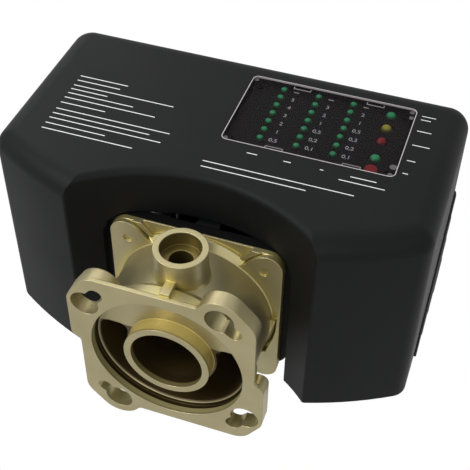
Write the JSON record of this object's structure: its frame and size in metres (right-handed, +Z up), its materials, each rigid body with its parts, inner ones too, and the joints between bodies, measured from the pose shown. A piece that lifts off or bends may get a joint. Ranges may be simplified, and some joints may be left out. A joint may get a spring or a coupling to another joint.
{
  "type": "leak protection device",
  "caption": "Motor-driven leak protection valve: brass bolt-on connection in front, ball valve behind it, dark lift-off hood with a lamp window.",
  "frame": {"origin": "on the water axis, in the front face of the connection flange", "axes": "+X right as seen from the flange side, +Y from the flange into the device along the water axis, +Z up, out of the lamp panel"},
  "size_m": [0.2112, 0.1473, 0.1165],
  "materials": {
    "hood_plastic": "fine matte grain",
    "clear_lens": "polished, clear",
    "cast_brass": "cast and machined, satin",
    "seal_rubber": "smooth",
    "housing_plastic": "glass-filled, matte",
    "seat_plastic": "smooth white",
    "screw_steel": "plain",
    "chrome_ball": "polished",
    "turned_brass": "turned",
    "gear_plastic": "smooth",
    "turbine_plastic": "smooth",
    "plate_steel": "zinc plated",
    "motor_steel": "plain",
    "frame_plastic": "matte",
    "board_laminate": "smooth",
    "mask_plastic": "smooth",
    "green_lamp_plastic": "glossy",
    "yellow_lamp_plastic": "glossy",
    "red_lamp_plastic": "glossy",
    "terminal_plastic": "smooth"
  },
  "bodies": {
    "water_body": {"connection_casting": "cast_brass", "body_gasket": "seal_rubber", "valve_housing": "housing_plastic", "end_cap": "housing_plastic", "end_cap_seal": "seal_rubber", "flange_screws": "screw_steel", "cap_screws": "screw_steel", "turbine_front_spider": "seat_plastic", "turbine_rear_spider": "seat_plastic", "flow_sensor": "frame_plastic", "ball_seats": "seat_plastic", "seat_retainer": "turned_brass", "gland_nut": "turned_brass", "drive_plate": "plate_steel", "drive_plate_screws": "screw_steel", "motor_gearbox": "frame_plastic", "gearbox_screws": "screw_steel", "motor_can": "motor_steel", "chassis_frame": "frame_plastic", "frame_screws": "screw_steel", "position_switches": "frame_plastic", "circuit_board": "board_laminate", "board_screws": "screw_steel", "display_mask": "mask_plastic", "mask_screws": "screw_steel", "flow_lamps": "green_lamp_plastic", "green_lamps": "green_lamp_plastic", "yellow_lamp": "yellow_lamp_plastic", "red_lamp": "red_lamp_plastic", "button_base": "frame_plastic", "control_chip": "frame_plastic", "terminal_block": "terminal_plastic", "power_socket": "frame_plastic", "socket_pin": "turned_brass"},
    "hood_shell": {"hood": "hood_plastic", "window_lens": "clear_lens"},
    "valve_rotor": {"valve_ball": "chrome_ball", "valve_stem": "turned_brass", "stem_seals": "seal_rubber", "output_gear": "gear_plastic", "position_cam": "frame_plastic", "stem_clip": "screw_steel"},
    "drive_pinion": {"motor_pinion": "turned_brass"},
    "turbine": {"turbine_wheel": "turbine_plastic", "turbine_axle": "screw_steel"},
    "button": {"manual_button": "red_lamp_plastic"}
  },
  "joints": [
    {"name": "hood_lift", "type": "slide", "parent": "water_body", "child": "hood_shell", "axis": [0, 0, 1], "range_m": [0, 0.115]},
    {"name": "valve_turn", "type": "hinge", "parent": "water_body", "child": "valve_rotor", "pos_m": [0, 0.092, 0], "axis": [0, 0, 1], "range_deg": [0, 90]},
    {"name": "pinion_turn", "type": "hinge", "parent": "water_body", "child": "drive_pinion", "pos_m": [-0.045, 0.092, 0], "axis": [0, 0, 1], "range_deg": [-247.5, 0]},
    {"name": "turbine_spin", "type": "hinge", "parent": "water_body", "child": "turbine", "pos_m": [0, 0.0584, 0], "axis": [0, 1, 0], "continuous": true},
    {"name": "button_press", "type": "slide", "parent": "water_body", "child": "button", "axis": [0, 0, -1], "range_m": [0, 0.001], "stiffness_N_per_m": 400}
  ],
  "couplings": [
    {"joint": "pinion_turn", "follows": "valve_turn", "ratio": -2.75}
  ]
}
